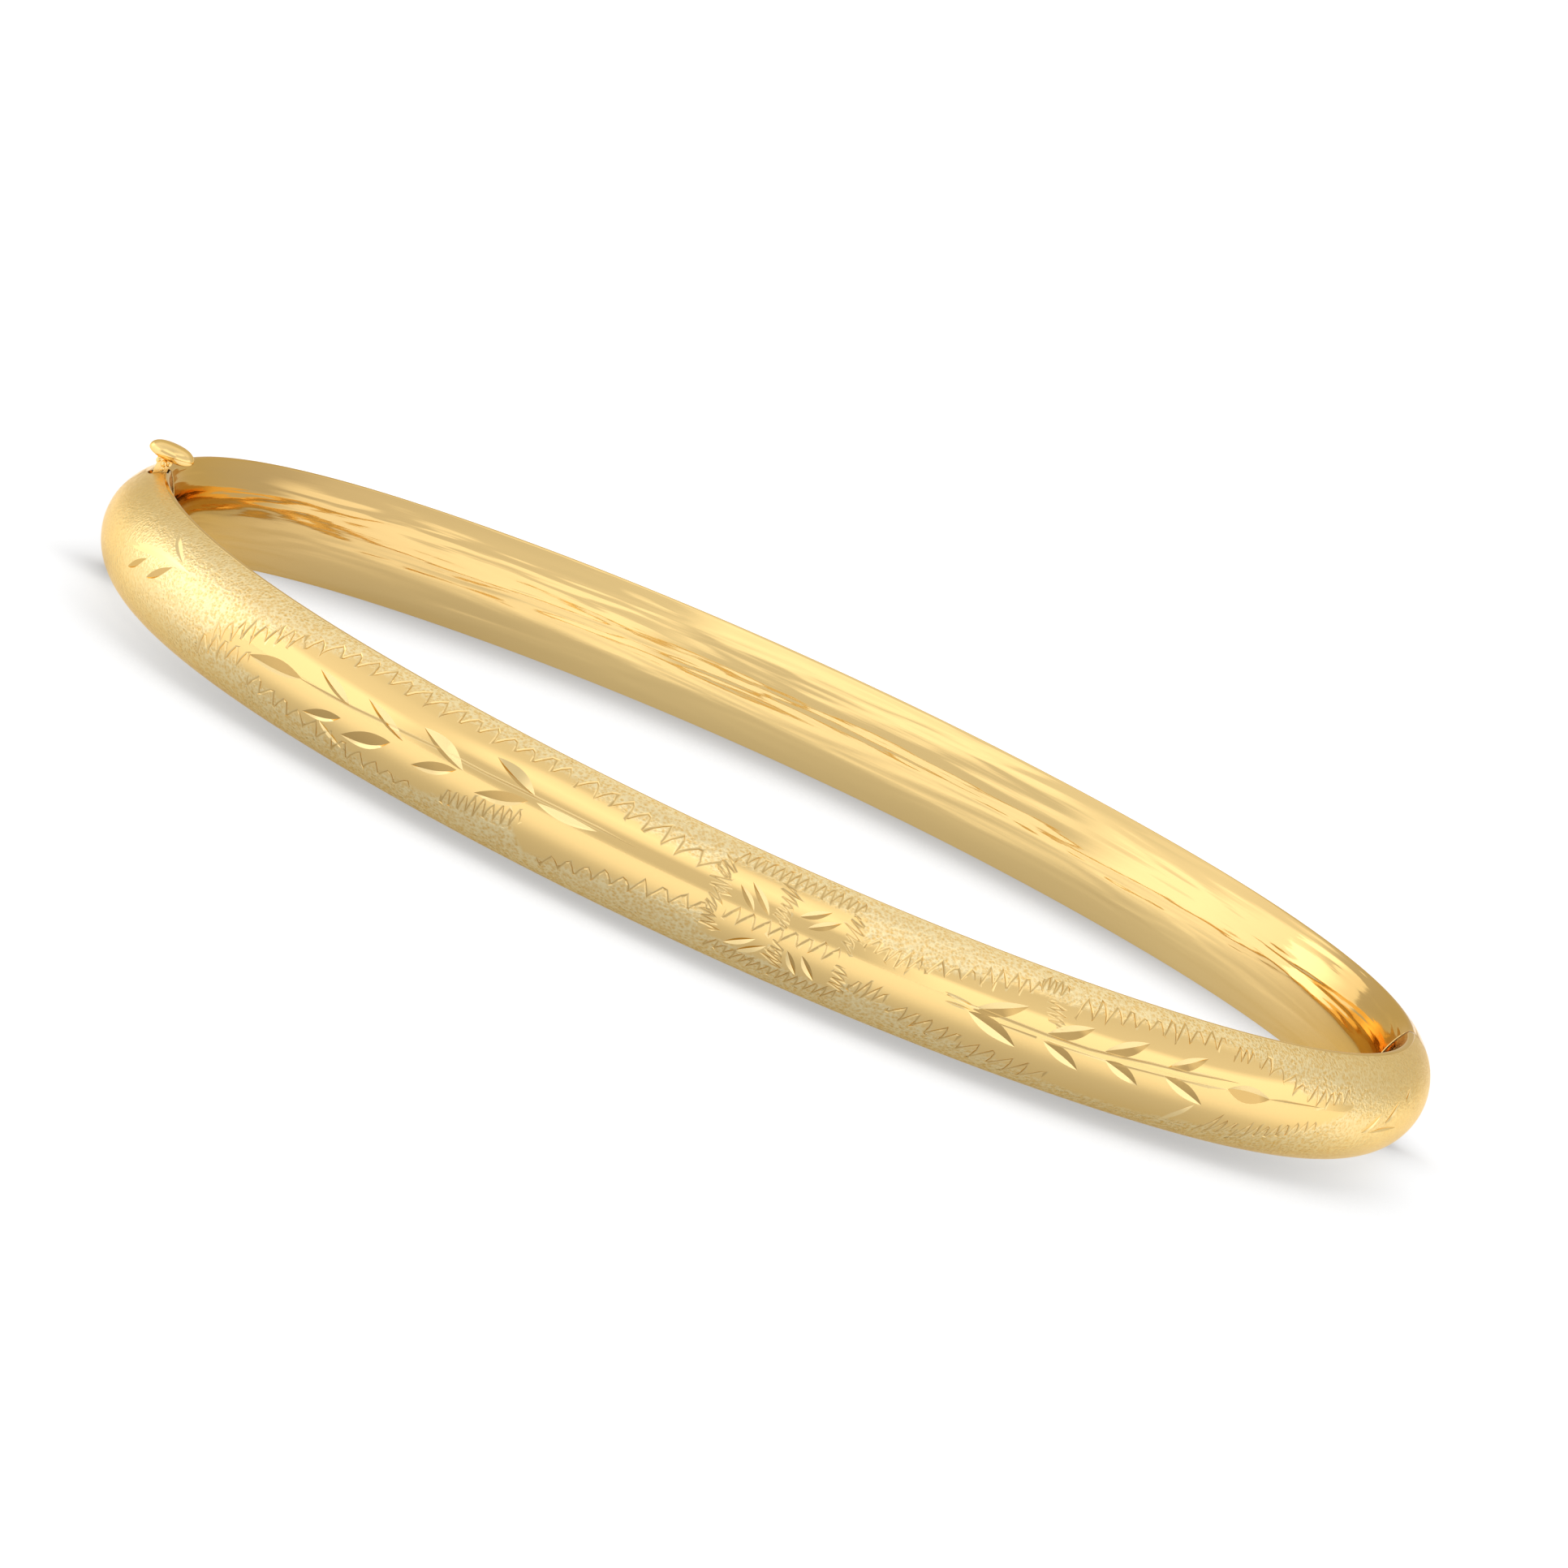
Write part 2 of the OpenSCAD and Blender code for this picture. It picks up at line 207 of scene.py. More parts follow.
# Wriggle-cut borders: points of the middle line, half height, spacing of the teeth
BORDERS = [
    ([(19.2, 4.65), (21.0, 4.15), (23.0, 4.0)], 0.45, 0.76),
    ([(23.2, 4.60), (25.0, 4.95), (27.0, 5.1), (29.5, 5.4), (33.3, 5.42)], 0.38, 0.92),
    ([(35.0, 4.90), (36.5, 4.6), (37.6, 4.4), (38.9, 4.1)], 0.44, 0.44),
    ([(40.1, 5.60), (41.5, 5.25), (43.0, 4.85), (44.5, 4.55), (46.3, 4.25), (48.0, 4.02)], 0.33, 0.86),
    ([(20.1, 3.90), (21.0, 3.3), (22.5, 2.65), (24.0, 2.1), (25.2, 1.75)], 0.48, 0.72),
    ([(25.3, 1.70), (26.5, 1.3), (28.3, 0.98), (32.0, 0.95), (36.0, 0.92), (40.0, 0.95)], 0.40, 0.97),
    ([(40.4, 0.98), (42.0, 1.1), (44.0, 1.4), (46.0, 1.75), (47.7, 2.1)], 0.42, 0.98),
    ([(48.3, 1.35), (48.0, 2.2), (48.3, 3.0), (48.05, 3.9), (48.5, 4.9)], 0.36, 0.34),
    ([(48.4, 0.88), (51.0, 0.84), (54.6, 0.88)], 0.38, 0.42),
    ([(48.6, 5.60), (51.0, 5.85), (54.8, 5.65)], 0.38, 0.46),
    ([(48.8, 3.68), (51.5, 3.62), (54.2, 3.5)], 0.30, 0.66),
    ([(51.2, 1.35), (51.2, 3.2)], 0.38, 0.32),
    ([(51.55, 4.05), (51.6, 5.3)], 0.36, 0.32),
    ([(54.5, 1.40), (54.3, 3.1)], 0.38, 0.32),
    ([(54.5, 3.90), (54.7, 5.2)], 0.38, 0.32),
    ([(55.1, 2.30), (56.2, 2.55), (57.7, 2.55)], 0.38, 0.50),
    ([(57.9, 2.40), (59.0, 2.2), (60.3, 2.0)], 0.30, 0.74),
    ([(60.5, 1.85), (62.0, 1.5), (63.6, 1.3)], 0.42, 0.66),
    ([(63.6, 0.85), (65.0, 0.95)], 0.36, 0.40),
    ([(64.4, 1.70), (64.7, 2.85)], 0.40, 0.30),
    ([(65.5, 1.60), (67.0, 1.35), (70.0, 1.15), (74.2, 0.95)], 0.42, 0.78),
    ([(74.7, 1.30), (76.0, 1.35)], 0.34, 0.42),
    ([(76.3, 1.40), (77.2, 1.5), (78.3, 1.9), (79.6, 2.35)], 0.40, 0.80),
    ([(79.9, 2.50), (81.5, 2.5), (83.5, 2.3)], 0.36, 0.78),
    ([(55.1, 4.60), (56.0, 4.55), (56.9, 4.62)], 0.42, 0.50),
    ([(57.2, 4.90), (59.0, 5.1), (60.7, 5.3)], 0.40, 0.68),
    ([(60.9, 5.40), (63.0, 5.6), (65.3, 5.75)], 0.46, 0.95),
    ([(74.5, 5.20), (76.2, 5.18)], 0.44, 0.60),
    ([(76.5, 5.10), (78.5, 4.75), (80.0, 4.25), (81.4, 3.95)], 0.38, 0.66),
]
BORDER_HALF_WIDTH = 0.07
BORDER_DEPTH = 0.034

# Leaves that start before this length belong to the sprig beside the clasp
CLASP_SPRIG_END = 18
# Leaves centred above this line of the strip are upper ones
UPPER_LEAVES_END = 3.3
# Shallower leaves get no painted shade on either slope
SHADED_LEAF_DEPTH = 0.08

# Edges of the polished panels between the borders: s, upper v, lower v
PANELS = [
    (19.3, 4.4, 4.6), (20.5, 3.5, 4.4), (22.0, 2.8, 4.2), (24.0, 2.1, 4.6), (26.0, 1.6, 5.0),
    (28.0, 1.05, 5.2), (30.0, 0.95, 5.4), (34.0, 0.95, 5.3), (35.5, 0.92, 4.8), (38.5, 0.92, 4.3),
    (39.5, 0.95, 5.6), (41.0, 1.2, 5.4), (43.0, 1.45, 4.85), (46.0, 1.95, 4.3), (48.0, 2.2, 4.1),
    (48.1, 1.3, 5.2), (54.7, 1.3, 5.3), (54.9, 2.2, 4.6), (57.0, 2.55, 4.85), (58.5, 2.3, 5.1),
    (60.5, 1.85, 5.4), (63.0, 1.4, 5.6), (65.0, 1.6, 5.75), (67.0, 1.35, 5.85), (70.0, 1.15, 5.9),
    (74.2, 0.98, 5.4), (76.5, 1.4, 5.1), (78.3, 1.9, 4.8), (79.8, 2.45, 4.3), (81.3, 2.5, 3.95),
    (83.8, 2.6, 2.9),
]


def wriggle(points, half_height, spacing):
    """The line that a rocked graver leaves: teeth of a rounded zigzag along a middle line."""
    middle = np.array(points, float)
    runs = np.hypot(*np.diff(middle, axis=0).T)
    stops = np.concatenate([[0], np.cumsum(runs)])
    teeth = max(1, round(stops[-1] / spacing))
    places = np.linspace(0, stops[-1], teeth * 6 + 1)
    x, y = (np.interp(places, stops, middle[:, i]) for i in (0, 1))
    slope = np.stack([np.gradient(x), np.gradient(y)], 1)
    slope /= np.hypot(*slope.T)[:, None]
    # Each tooth differs a little in height and place, as hand work does
    hand = np.array([noise.noise((place * 1.3, x[0], y[0])) for place in places])
    beat = np.array([noise.noise((place * 0.9, y[0], x[0] + 5)) for place in places])
    phase = places / stops[-1] * teeth * 2 * math.pi + 1.1 * beat
    swing = np.sin(phase) - 0.14 * np.sin(3 * phase)
    reach = half_height * swing * (1 + 0.6 * hand)
    # The teeth lean, as the graver is rocked forward
    drift = spacing * 0.06 * np.cos(phase) - 0.3 * reach
    return np.stack([x - slope[:, 1] * reach + slope[:, 0] * drift,
                     y + slope[:, 0] * reach + slope[:, 1] * drift], 1)


def leaf_frame(leaf):
    """A leaf's base, the directions along and across it, and its length."""
    base, tip = np.array(leaf[0]), np.array(leaf[1])
    run = tip - base
    length = np.hypot(*run)
    return base, run / length, np.array([-run[1], run[0]]) / length, length


def leaf_half(leaf, t):
    """Half the width of a leaf, at a share t of its length."""
    return leaf[3] / 2 * np.sin(math.pi * np.clip(t, 0, 1) ** 0.92) ** 0.95


def leaf_depth(leaf, points):
    """Depth that a leaf cuts at each point, and which slope the point is on."""
    base, along, across, length = leaf_frame(leaf)
    rel = points - base
    t = rel @ along / length
    half = leaf_half(leaf, t) + 1e-9
    n = rel @ across - leaf[2] * np.sin(math.pi * np.clip(t, 0, 1))
    valley = leaf[5] * half
    side = n > valley
    reach = np.where(side, half - valley, half + valley)
    share = 1 - np.abs(n - valley) / reach
    inside = (t > 0) & (t < 1) & (share > 0)
    floor = leaf[4] * np.sin(math.pi * np.clip(t, 0, 1)) ** 0.7
    return np.where(inside, floor * share, 0.0), side, (t > -0.03) & (t < 1.03) & (share > -0.15)


def shaded_slopes():
    """Numbers of the slopes given a painted shade: the lower of an upper leaf's two, and the upper of a
    lower leaf's.

    In the sprig beside the clasp it is always a leaf's first slope.
    """
    # The slopes that take the painted shade
    matt = []
    for i, (base, tip, _, _, depth, _) in enumerate(LEAVES):
        points_to_hinge = tip[0] > base[0]
        upper_leaf = (base[1] + tip[1]) / 2 < UPPER_LEAVES_END
        second = base[0] >= CLASP_SPRIG_END and points_to_hinge == upper_leaf
        if depth > SHADED_LEAF_DEPTH:
            matt.append(2 * i + 1 + second)
    return matt


def line_distance(line, points):
    """Distance of each point from a line of points. Points more than LINE_REACH along the strip are far."""
    best = np.full(len(points), 1e9)
    for a, b in zip(line[:-1], line[1:]):
        near = np.abs(points[:, 0] - (a[0] + b[0]) / 2) < LINE_REACH
        if not near.any():
            continue
        p = points[near]
        run = b - a
        t = np.clip(((p - a) @ run) / max(run @ run, 1e-12), 0, 1)
        best[near] = np.minimum(best[near], np.hypot(*(p - a - t[:, None] * run).T))
    return best


class Strip:
    """The flat strip: points and edges that a triangulation keeps."""

    def __init__(self):
        self.points, self.edges = [], []

    def chain(self, line, closed=False):
        """A line of points, with the edges between them."""
        first = len(self.points)
        self.points += [tuple(p) for p in line]
        last = len(self.points) - 1
        self.edges += [(i, i + 1) for i in range(first, last)]
        if closed:
            self.edges.append((last, first))

    def groove(self, line, half_width):
        """The two lips and the bottom of a cut line."""
        line = np.asarray(line, float)
        slope = np.gradient(line, axis=0)
        slope /= np.maximum(np.hypot(*slope.T)[:, None], 1e-9)
        across = np.stack([-slope[:, 1], slope[:, 0]], 1)
        runs = np.diff(line, axis=0)
        runs /= np.hypot(*runs.T)[:, None]
        before = np.vstack([runs[:1], runs])
        miter = 1 / np.maximum(np.abs((before * slope).sum(1)), 0.45)
        width = (half_width * miter)[:, None]
        width[0] = width[-1] = half_width * 0.15
        for lip in (-1, 0, 1):
            self.chain(line + lip * across * width)

    def leaf(self, leaf, steps=11):
        """The two borders and the valley of a leaf."""
        base, along, across, length = leaf_frame(leaf)
        t = np.linspace(0, 1, steps)
        half = leaf_half(leaf, t)
        half[0] = half[-1] = 0
        middle = base + t[:, None] * length * along + (leaf[2] * np.sin(math.pi * t))[:, None] * across
        for place in (-1, leaf[5], 1):
            line = middle + (place * half)[:, None] * across
            if place != -1:
                line[0], line[-1] = middle[0], middle[-1]
            self.chain(line)


def outline(notched):
    """Border of the shell on the strip, from the clasp's upper corner round."""
    v = np.linspace(0, STRIP_WIDTH, 29)
    start = SEAM
    ends = np.stack([end_length(v, 0), v], 1)
    upper = np.arange(NOTCH_LENGTH if notched else start, ends[0][0] - 0.3, 0.4)
    lower = np.arange(ends[-1][0] - 0.3, start + 0.2, -0.4)
    border = [(x, 0.0) for x in upper] + [tuple(p) for p in ends] + [(x, STRIP_WIDTH) for x in lower]
    if notched:
        border += [(start, w) for w in np.linspace(STRIP_WIDTH, NOTCH_DEPTH, 26)]
        border += [(0.6, NOTCH_DEPTH), (1.13, 0.7), (1.2, 0.35)]
    else:
        border += [(start, w) for w in np.linspace(STRIP_WIDTH, 0.25, 28)]
    return np.array(border)


def triangulate(strip, border_count, grid):
    """Corner points and triangles of the strip inside its border, and the border points' new numbers."""
    points = [Vector(p) for p in strip.points] + [Vector(p) for p in grid]
    result = delaunay_2d_cdt(points, strip.edges, [], 1, 1e-5)
    verts = np.array([tuple(p) for p in result[0]])
    faces = [tuple(f) for f in result[2]]
    where = {old: new for new, olds in enumerate(result[3]) for old in olds if old < border_count}
    return verts, faces, where


def inside_outline(points, margin, notched):
    """Which points of the strip lie inside the shell's border by at least a margin."""
    ends = end_length(points[:, 1], 0)
    keep = (points[:, 0] > SEAM + margin) & (points[:, 0] < ends - margin)
    keep &= (points[:, 1] > margin) & (points[:, 1] < STRIP_WIDTH - margin)
    if notched:
        keep &= (points[:, 0] > NOTCH_LENGTH + margin) | (points[:, 1] > NOTCH_DEPTH + margin)
    return keep


def cut_lines():
    """The cut lines of the layout: points, half width, depth."""
    lines = [(np.array(points, float), half_width, depth) for points, half_width, depth in STEMS]
    return lines + [(wriggle(*border), BORDER_HALF_WIDTH, BORDER_DEPTH) for border in BORDERS]


def domed_face(border, leaves, lines, notched):
    """Points and triangles of the outer face, the border's new numbers, and how deep each point is cut."""
    strip = Strip()
    strip.chain(border, closed=True)
    for leaf in leaves:
        strip.leaf(leaf)
    for line, half_width, _ in lines:
        strip.groove(line, half_width)

    # A grid 0.33 by 0.2 mm fills the rest, a little clear of the border and the cuts. Every other row is
    # shifted by half a step
    s, v = np.meshgrid(np.arange(0.3, STRIP_LENGTH, 0.33), np.arange(0.12, STRIP_WIDTH, 0.2))
    s = s + 0.165 * (np.round(v / 0.2) % 2)
    grid = np.stack([s.ravel(), v.ravel()], 1)
    grid = grid[inside_outline(grid, 0.1, notched)]
    keep = np.ones(len(grid), bool)
    for leaf in leaves:
        keep &= ~leaf_depth(leaf, grid)[2]
    for line, half_width, _ in lines:
        keep &= line_distance(line, grid) > half_width + 0.05
    verts, faces, where = triangulate(strip, len(border), grid[keep])

    depth = np.zeros(len(verts))
    for leaf in leaves:
        depth = np.maximum(depth, leaf_depth(leaf, verts)[0])
    for line, half_width, deep in lines:
        depth = np.maximum(depth, deep * np.clip(1 - line_distance(line, verts) / half_width, 0, 1))
    return verts, faces, where, depth


def plain_face(border, notched):
    """Points and triangles of the inner face, and the border's new numbers."""
    strip = Strip()
    strip.chain(border, closed=True)
    s, v = np.meshgrid(np.arange(1.0, STRIP_LENGTH, 1.2), np.arange(0.5, STRIP_WIDTH, 0.6))
    grid = np.stack([s.ravel(), v.ravel()], 1)
    return triangulate(strip, len(border), grid[inside_outline(grid, 0.3, notched)])


# What a triangle of the shell belongs to. Numbers above 0 are the slopes of the leaves, two for each leaf
DOME_FACE, LINE_CUT, EDGE_FACE, INNER_FACE = 0, -1, -2, -3


def cut_groups(middle, leaves, lines):
    """What each triangle of the outer face belongs to, from the middles of the triangles."""
    group = np.full(len(middle), DOME_FACE)
    for line, half_width, _ in lines:
        group[line_distance(line, middle) < half_width * 0.98] = LINE_CUT
    for i, leaf in enumerate(leaves):
        cut, side, _ = leaf_depth(leaf, middle)
        group[cut > 0] = 2 * i + 1 + side[cut > 0]
    return group


def mesh_values(items, key, width):
    """One property of all polygons or loops of a mesh, as rows."""
    values = np.zeros(len(items) * width)
    items.foreach_get(key, values)
    return values.reshape(-1, width)


def corner_normals(mesh, corner, owner, at, smooth_normals):
    """Normals of the corners: the dome's own on the two faces, and each slope's own in the cuts."""
    face_normal = mesh_values(mesh.polygons, "normal", 3)
    area = mesh_values(mesh.polygons, "area", 1)
    normals = face_normal[owner]
    smooth = (at == DOME_FACE) | (at == INNER_FACE)
    normals[smooth] = smooth_normals[corner[smooth]]
    # The corners of one slope that meet at a point share their normal, weighed by area
    slopes = at > 0
    _, shared = np.unique(corner[slopes] * 1000 + at[slopes], return_inverse=True)
    total = np.zeros((slopes.sum(), 3))
    np.add.at(total, shared, face_normal[owner[slopes]] * area[owner[slopes]])
    normals[slopes] = total[shared]
    return normals / np.maximum(np.linalg.norm(normals, axis=1), 1e-12)[:, None]


# Lengths of the strip where the finish changes: the end of the worn satin beside the clasp, the start of the
# painted shade in the lines' bottoms, and the inner limits of the highlight painted on the two ends
WORN_SATIN_END = 14
DARK_LINES_START = 15
CLASP_END_LIMIT = 20
HINGE_END_LIMIT = 82
# How soft the edge of a polished panel is, and a place off the strip, where there is no panel
PANEL_SOFT = 0.2
OFF_STRIP = 9


def paint_finish(mesh, place, corner, at, lines):
    """Where each finish lies, from the places of the points on the strip.

    Red is the satin, green the cuts with their painted highlight, blue the painted shade on one slope of a
    leaf and in the bottom of a line, and alpha the highlight painted on the two ends.
    """
    s, v = place.T
    panels = np.array(PANELS)
    upper, lower = (np.interp(s, panels[:, 0], edge, left=OFF_STRIP, right=OFF_STRIP)
                    for edge in panels.T[1:])
    satin = np.clip(0.5 - np.minimum(v - upper, lower - v) / PANEL_SOFT, 0, 1)
    # Beside the clasp the satin is worn a little smooth round the sprig
    satin *= 1 - 0.15 * np.clip((WORN_SATIN_END - s) / 5, 0, 1) * np.clip((5 - v) / 1.5, 0, 1)
    bottom = np.zeros(len(place))
    for line, half_width, _ in lines:
        bottom = np.maximum(bottom, 1 - line_distance(line, place) / half_width)
    # The painted shade in the lines' bottoms is fainter at the clasp end
    bottom *= np.clip((s - DARK_LINES_START) / 12, 0.4, 0.9)
    # The two ends take a painted highlight
    paler = np.clip(np.maximum(CLASP_END_LIMIT - s, s - HINGE_END_LIMIT) / 6, 0, 1)

    # Green marks the cuts: smoother, and with a painted highlight in their colour
    cut = (at == LINE_CUT) | (at > 0)
    red = np.where(cut, 0, satin[corner])
    # Blue is painted shade, on one slope of each leaf and in the bottoms of the lines
    blue = np.where(at == LINE_CUT, bottom[corner], np.isin(at, shaded_slopes()))
    layer = mesh.color_attributes.new("finish", "FLOAT_COLOR", "CORNER")
    layer.data.foreach_set("color", np.stack([red, cut, blue, paler[corner]], 1).ravel())


def shell_sheet(name, engraved, mirrored, notched):
    """A domed outer sheet with its cut lines, closed by a plain inner face and the edges between them."""
    leaves, lines = (LEAVES, cut_lines()) if engraved else ([], [])
    border = outline(notched)
    verts, faces, where, depth = domed_face(border, leaves, lines, notched)
    outer, outer_normal = on_dome(verts[:, 0], verts[:, 1], depth)

    back, back_faces, back_where = plain_face(border, notched)
    # Inside, the relief at the hinge is cut back less, over the last 3 mm
    longer = end_length(back[:, 1], SHELL) - end_length(back[:, 1], 0)
    pulled = back[:, 0] + longer * np.clip(1 - (STRIP_LENGTH - back[:, 0]) / 3, 0, 1)
    inner, inner_normal = on_dome(pulled, back[:, 1], SHELL)

    points = np.vstack([outer, inner])
    smooth_normals = np.vstack([outer_normal, -inner_normal])
    if mirrored:
        points[:, 1] *= -1
        smooth_normals[:, 1] *= -1
    bm = bmesh.new()
    made = [bm.verts.new(p) for p in points]
    shift = len(outer)
    # On the strip v runs downwards, so a triangle that turns left there faces the wrist
    order = (0, 1, 2) if mirrored else (0, 2, 1)
    for f in faces:
        bm.faces.new([made[f[i]] for i in order])
    for f in back_faces:
        bm.faces.new([made[shift + f[i]] for i in order[::-1]])
    for i in range(len(border)):
        j = (i + 1) % len(border)
        quad = [made[where[i]], made[where[j]], made[shift + back_where[j]], made[shift + back_where[i]]]
        bm.faces.new(quad[::-1] if mirrored else quad)
    piece = piece_from(bm, name)

    mesh = piece.data
    corner = np.array([loop.vertex_index for loop in mesh.loops])
    owner = np.repeat(np.arange(len(mesh.polygons)), [p.loop_total for p in mesh.polygons])
    group = np.concatenate([cut_groups(verts[np.array(faces)].mean(1), leaves, lines),
                            np.full(len(back_faces), INNER_FACE), np.full(len(border), EDGE_FACE)])
    at = group[owner]
    place = np.vstack([verts, back])
    if engraved:
        paint_finish(mesh, place, corner, at, lines)
    uv = mesh.uv_layers.new(name="band")
    uv.data.foreach_set("uv", (place[corner] / 100).ravel())
    mesh.polygons.foreach_set("use_smooth", [True] * len(mesh.polygons))
    mesh.normals_split_custom_set(corner_normals(mesh, corner, owner, at, smooth_normals).tolist())
    return piece


def piece_from(bm, name):
    """An object from a finished bmesh, which is freed."""
    mesh = bpy.data.meshes.new(name)
    bm.to_mesh(mesh)
    bm.free()
    piece = bpy.data.objects.new(name, mesh)
    bpy.context.scene.collection.objects.link(piece)
    # The gold's warm glow is kept off the floor, which stays a neutral grey round the bangle
    piece.visible_diffuse = name == "floor"
    return piece


# ---- The liners ----


# How far up and down the wrist side's arc goes, and the inside's
WRIST_REACH = 2.5
INSIDE_REACH = 2.44


def liner_section():
    """Section of the liner as (out, up), from the upper rim down the wrist side and back up inside."""
    ups = np.linspace(WRIST_REACH, -WRIST_REACH, 49)
    wrist = [(CROWN_C - math.sqrt(CROWN_R**2 - u * u), u) for u in ups]
    rim = [(EDGE_OUT, 2.5696), (0.215, 2.585), (0.17, 2.596), (0.11, 2.6), (0.05, 2.597),
           (-0.005, 2.581), (-0.045, 2.548)]
    inside_r = CROWN_R - LINER
    ups = np.linspace(-INSIDE_REACH, INSIDE_REACH, 25)
    inside = [(CROWN_C - math.sqrt(inside_r**2 - u * u), u) for u in ups]
    return rim + wrist + [(o, -u) for o, u in rim[::-1]] + inside


# How deep the polishing waves are, how far up and down they reach, and how far apart in the waves'
# pattern the two halves are
WAVE_DEPTH = 0.045
WAVE_REACH = 2.45
OTHER_HALF = 20


def along(point):
    """How far round the band a point of the spun sheet lies, from the clasp to the hinge."""
    return (math.atan2(point.y, point.x) % (2 * math.pi) - math.pi) / math.pi * CREST


def polish_wave(s, up):
    """The long shallow waves that hand polishing leaves on the wrist side, and shorter ones half as deep."""
    long = noise.noise((s * 0.045, up * 0.55, 3.1))
    short = noise.noise((s * 0.10, up * 1.3, 7.7))
    return WAVE_DEPTH * (long + 0.5 * short)


def liner_sheet(name, mirrored):
    """An inner sheet, spun from its section round the three arcs of the oval."""
    bm = bmesh.new()
    section = liner_section()
    cut = SEAM / END_R
    start = [bm.verts.new((-END_C - (END_R + out) * math.cos(cut), -(END_R + out) * math.sin(cut), MID + up))
             for out, up in section]
    ring = [bm.edges.new((a, b)) for a, b in zip(start, start[1:] + start[:1])]
    arcs = [((-END_C, 0, 0), JOIN - cut, 72), ((0, SIDE_C, 0), math.pi - 2 * JOIN, 104),
            ((END_C, 0, 0), JOIN - cut, 72)]
    for centre, angle, steps in arcs:
        spun = bmesh.ops.spin(bm, geom=ring, cent=centre, axis=(0, 0, 1), angle=angle, steps=steps)
        ring = [g for g in spun["geom_last"] if isinstance(g, bmesh.types.BMEdge)]
    bmesh.ops.remove_doubles(bm, verts=bm.verts, dist=1e-4)
    rims = [e for e in bm.edges if e.is_boundary]
    bmesh.ops.holes_fill(bm, edges=rims, sides=0)
    band = bm.loops.layers.uv.new("band")
    other_half = OTHER_HALF if mirrored else 0
    for face in bm.faces:
        for loop in face.loops:
            loop[band].uv = (along(loop.vert.co) / 100, (loop.vert.co.z + other_half) / 100)
    for vert in bm.verts:
        up = vert.co.z - MID
        s = along(vert.co)
        # The waves fade out at the rims, and over 2 mm at the ends
        fade = max(0.0, 1 - abs(up / WAVE_REACH) ** 6) * max(0.0, min(1.0, s / 2, (CREST - s) / 2))
        stretch = 1 + polish_wave(s, up + other_half) * fade / math.hypot(vert.co.x, vert.co.y)
        vert.co.xy *= stretch
    if mirrored:
        bmesh.ops.scale(bm, vec=(1, -1, 1), verts=bm.verts)
    bmesh.ops.scale(bm, vec=(MM, MM, MM), verts=bm.verts)
    bmesh.ops.recalc_face_normals(bm, faces=bm.faces)
    for face in bm.faces:
        face.smooth = len(face.verts) == 4
    return piece_from(bm, name)


def cut_notch(piece):
    """The notch in the upper rim, through which the tab's stem rises with 0.08 mm to spare on each side."""
    low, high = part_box("tab_stem")
    size = Vector(((high.x - low.x) / MM + 0.16, 1.33, 3)) * MM
    centre = Vector(((low.x + high.x) / 2 / MM, -0.465, 2 * MID + 0.74)) * MM
    bm = bmesh.new()
    bmesh.ops.create_cube(bm, size=1, matrix=Matrix.LocRotScale(centre, None, size))
    cutter = piece_from(bm, "notch")
    cut = piece.modifiers.new("notch", "BOOLEAN")
    cut.object = cutter
    cut.solver = "EXACT"
    bpy.context.view_layer.update()
    graph = bpy.context.evaluated_depsgraph_get()
    mesh = bpy.data.meshes.new_from_object(piece.evaluated_get(graph))
    piece.modifiers.clear()
    piece.data = mesh
    bpy.data.objects.remove(cutter)
    mesh.name = piece.name


# ---- Materials ----

# Painted shade on one slope of each leaf and in the lines' bottoms, a painted highlight on the cuts,
# and the gold on the tips of the brushed grain
PAINTED_CUT_SHADE = "#B88C40"
PAINTED_CUT_HIGHLIGHT = "#FFE2A2"
GRAIN = "#FFEAB4"
# Painted shade at the ends of the back liner, by the clasp and the hinge, which also damps the red glow
# that the two liners reflect into each other
BACK_END_SHADE = "#DDB97A"
# The front liner is a little paler, so that the two do not redden each other
PALER_INSIDE = "#FADDA2"
# Its ends carry the same painted shade as the back's, a little paler
FRONT_END_SHADE = "#E4C790"
# A painted highlight on the two ends of the engraved sheet
PAINTED_END_HIGHLIGHT = "#FFE7AE"
# Gold stays yellow where it is seen at a glancing angle
EDGE_TINT = "#F6DEAE"


def linear(hex_colour):
    """An sRGB hex colour as linear red, green, blue and alpha."""
    parts = [int(hex_colour.lstrip("#")[i : i + 2], 16) / 255 for i in (0, 2, 4)]
    return [c / 12.92 if c <= 0.04045 else ((c + 0.055) / 1.055) ** 2.4 for c in parts] + [1.0]


# Sockets of a mix of two colours, which share their names with the sockets for other kinds of value
SHARE, FIRST, SECOND, MIXED = 0, 6, 7, 2


def grey(level):
    return [level, level, level, 1.0]


def add_node(tree, kind, inputs=None, stops=(), **settings):
    """Adds a node with its settings and ramp stops, and fills its inputs.

    An input is given as a value, as a socket, or as a node whose first output is meant.
    """
    made = tree.nodes.new("ShaderNode" + kind)
    for key, value in settings.items():
        setattr(made, key, value)
    if stops:
        elements = made.color_ramp.elements
        while len(elements) < len(stops):
            elements.new(0.5)
        for element, (at, colour) in zip(elements, stops):
            element.position = at
            element.color = colour
    for key, value in (inputs or {}).items():
        if isinstance(value, bpy.types.Node):
            value = value.outputs[0]
        if isinstance(value, bpy.types.NodeSocket):
            tree.links.new(value, made.inputs[key])
        else:
            made.inputs[key].default_value = value
    return made


def new_material(name):
    material = bpy.data.materials.new(name)
    material.use_nodes = True
    tree = material.node_tree
    tree.nodes.clear()
    return material, tree


def put_on(piece, material):
    piece.data.materials.clear()
    piece.data.materials.append(material)


